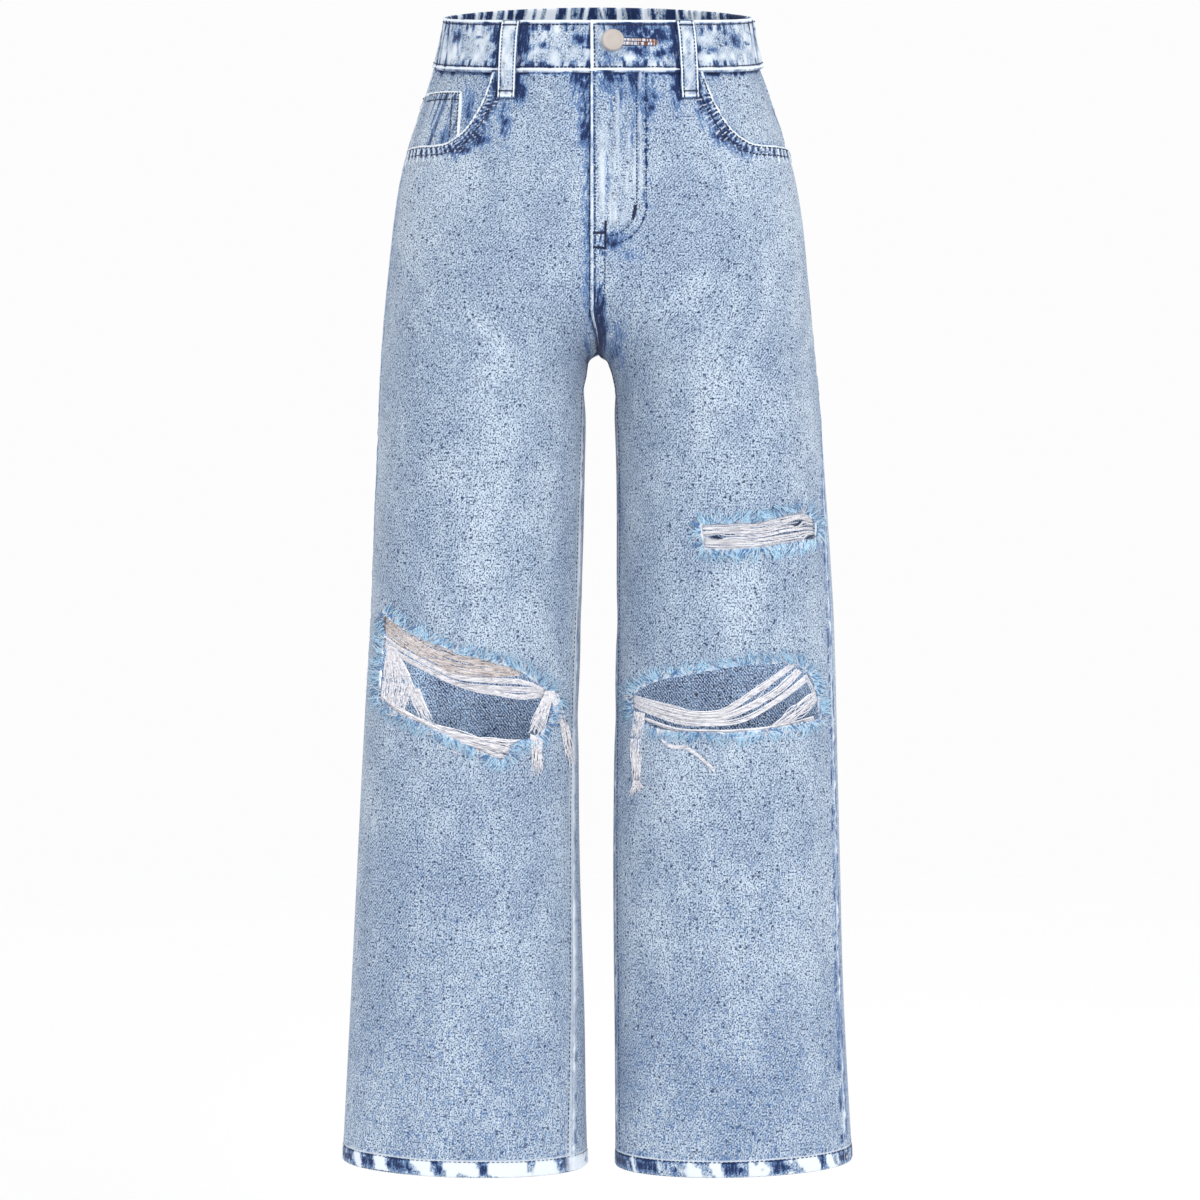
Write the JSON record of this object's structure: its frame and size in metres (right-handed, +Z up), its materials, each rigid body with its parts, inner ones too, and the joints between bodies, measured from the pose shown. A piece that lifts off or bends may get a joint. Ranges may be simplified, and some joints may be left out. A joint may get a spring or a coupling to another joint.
{
  "type": "ripped wide-leg jeans, filled out as worn",
  "caption": "High-waisted wide-leg jeans in washed denim with ripped knees and thigh, held up by the wearer's waist; hollow, open at waist and hems.",
  "frame": {"origin": "middle of the waist opening, where the wearer's waist holds the jeans up", "axes": "+Z up along the body, +X to the wearer's left, and the front of the jeans faces -Y"},
  "size_m": [0.3964, 0.2209, 0.919],
  "materials": {
    "denim": "light stone-washed indigo twill, dry and matt, with dark speckles and worn white edges at the seams",
    "cotton_thread": "matt white cotton weft threads",
    "button_metal": "satin beige-grey coating",
    "zip": "satin brass teeth on a cotton tape"
  },
  "bodies": {
    "root": {"waistband_front_left": "denim", "waistband_front_right": "denim", "waistband_back": "denim", "front_left": "denim", "front_right": "denim", "pocket_facing_left": "denim", "pocket_facing_right": "denim", "coin_pocket": "denim", "fly_facing": "denim", "fly_zip": "zip", "button": "button_metal", "loop_front_left": "denim", "loop_front_right": "denim", "loop_side_left": "denim", "loop_side_right": "denim", "loop_back": "denim", "yoke_left": "denim", "back_left": "denim", "yoke_right": "denim", "back_right": "denim", "back_pocket_left": "denim", "back_pocket_right": "denim", "hem_left": "denim", "hem_right": "denim", "threads_thigh": "cotton_thread", "threads_knee_left": "cotton_thread", "threads_knee_right_upper": "cotton_thread", "threads_knee_right_middle": "cotton_thread", "threads_knee_right_lower": "cotton_thread", "fringe_knee_right": "cotton_thread", "fringe_knee_left": "cotton_thread", "fringe_knee_left_loose": "cotton_thread"}
  },
  "joints": []
}
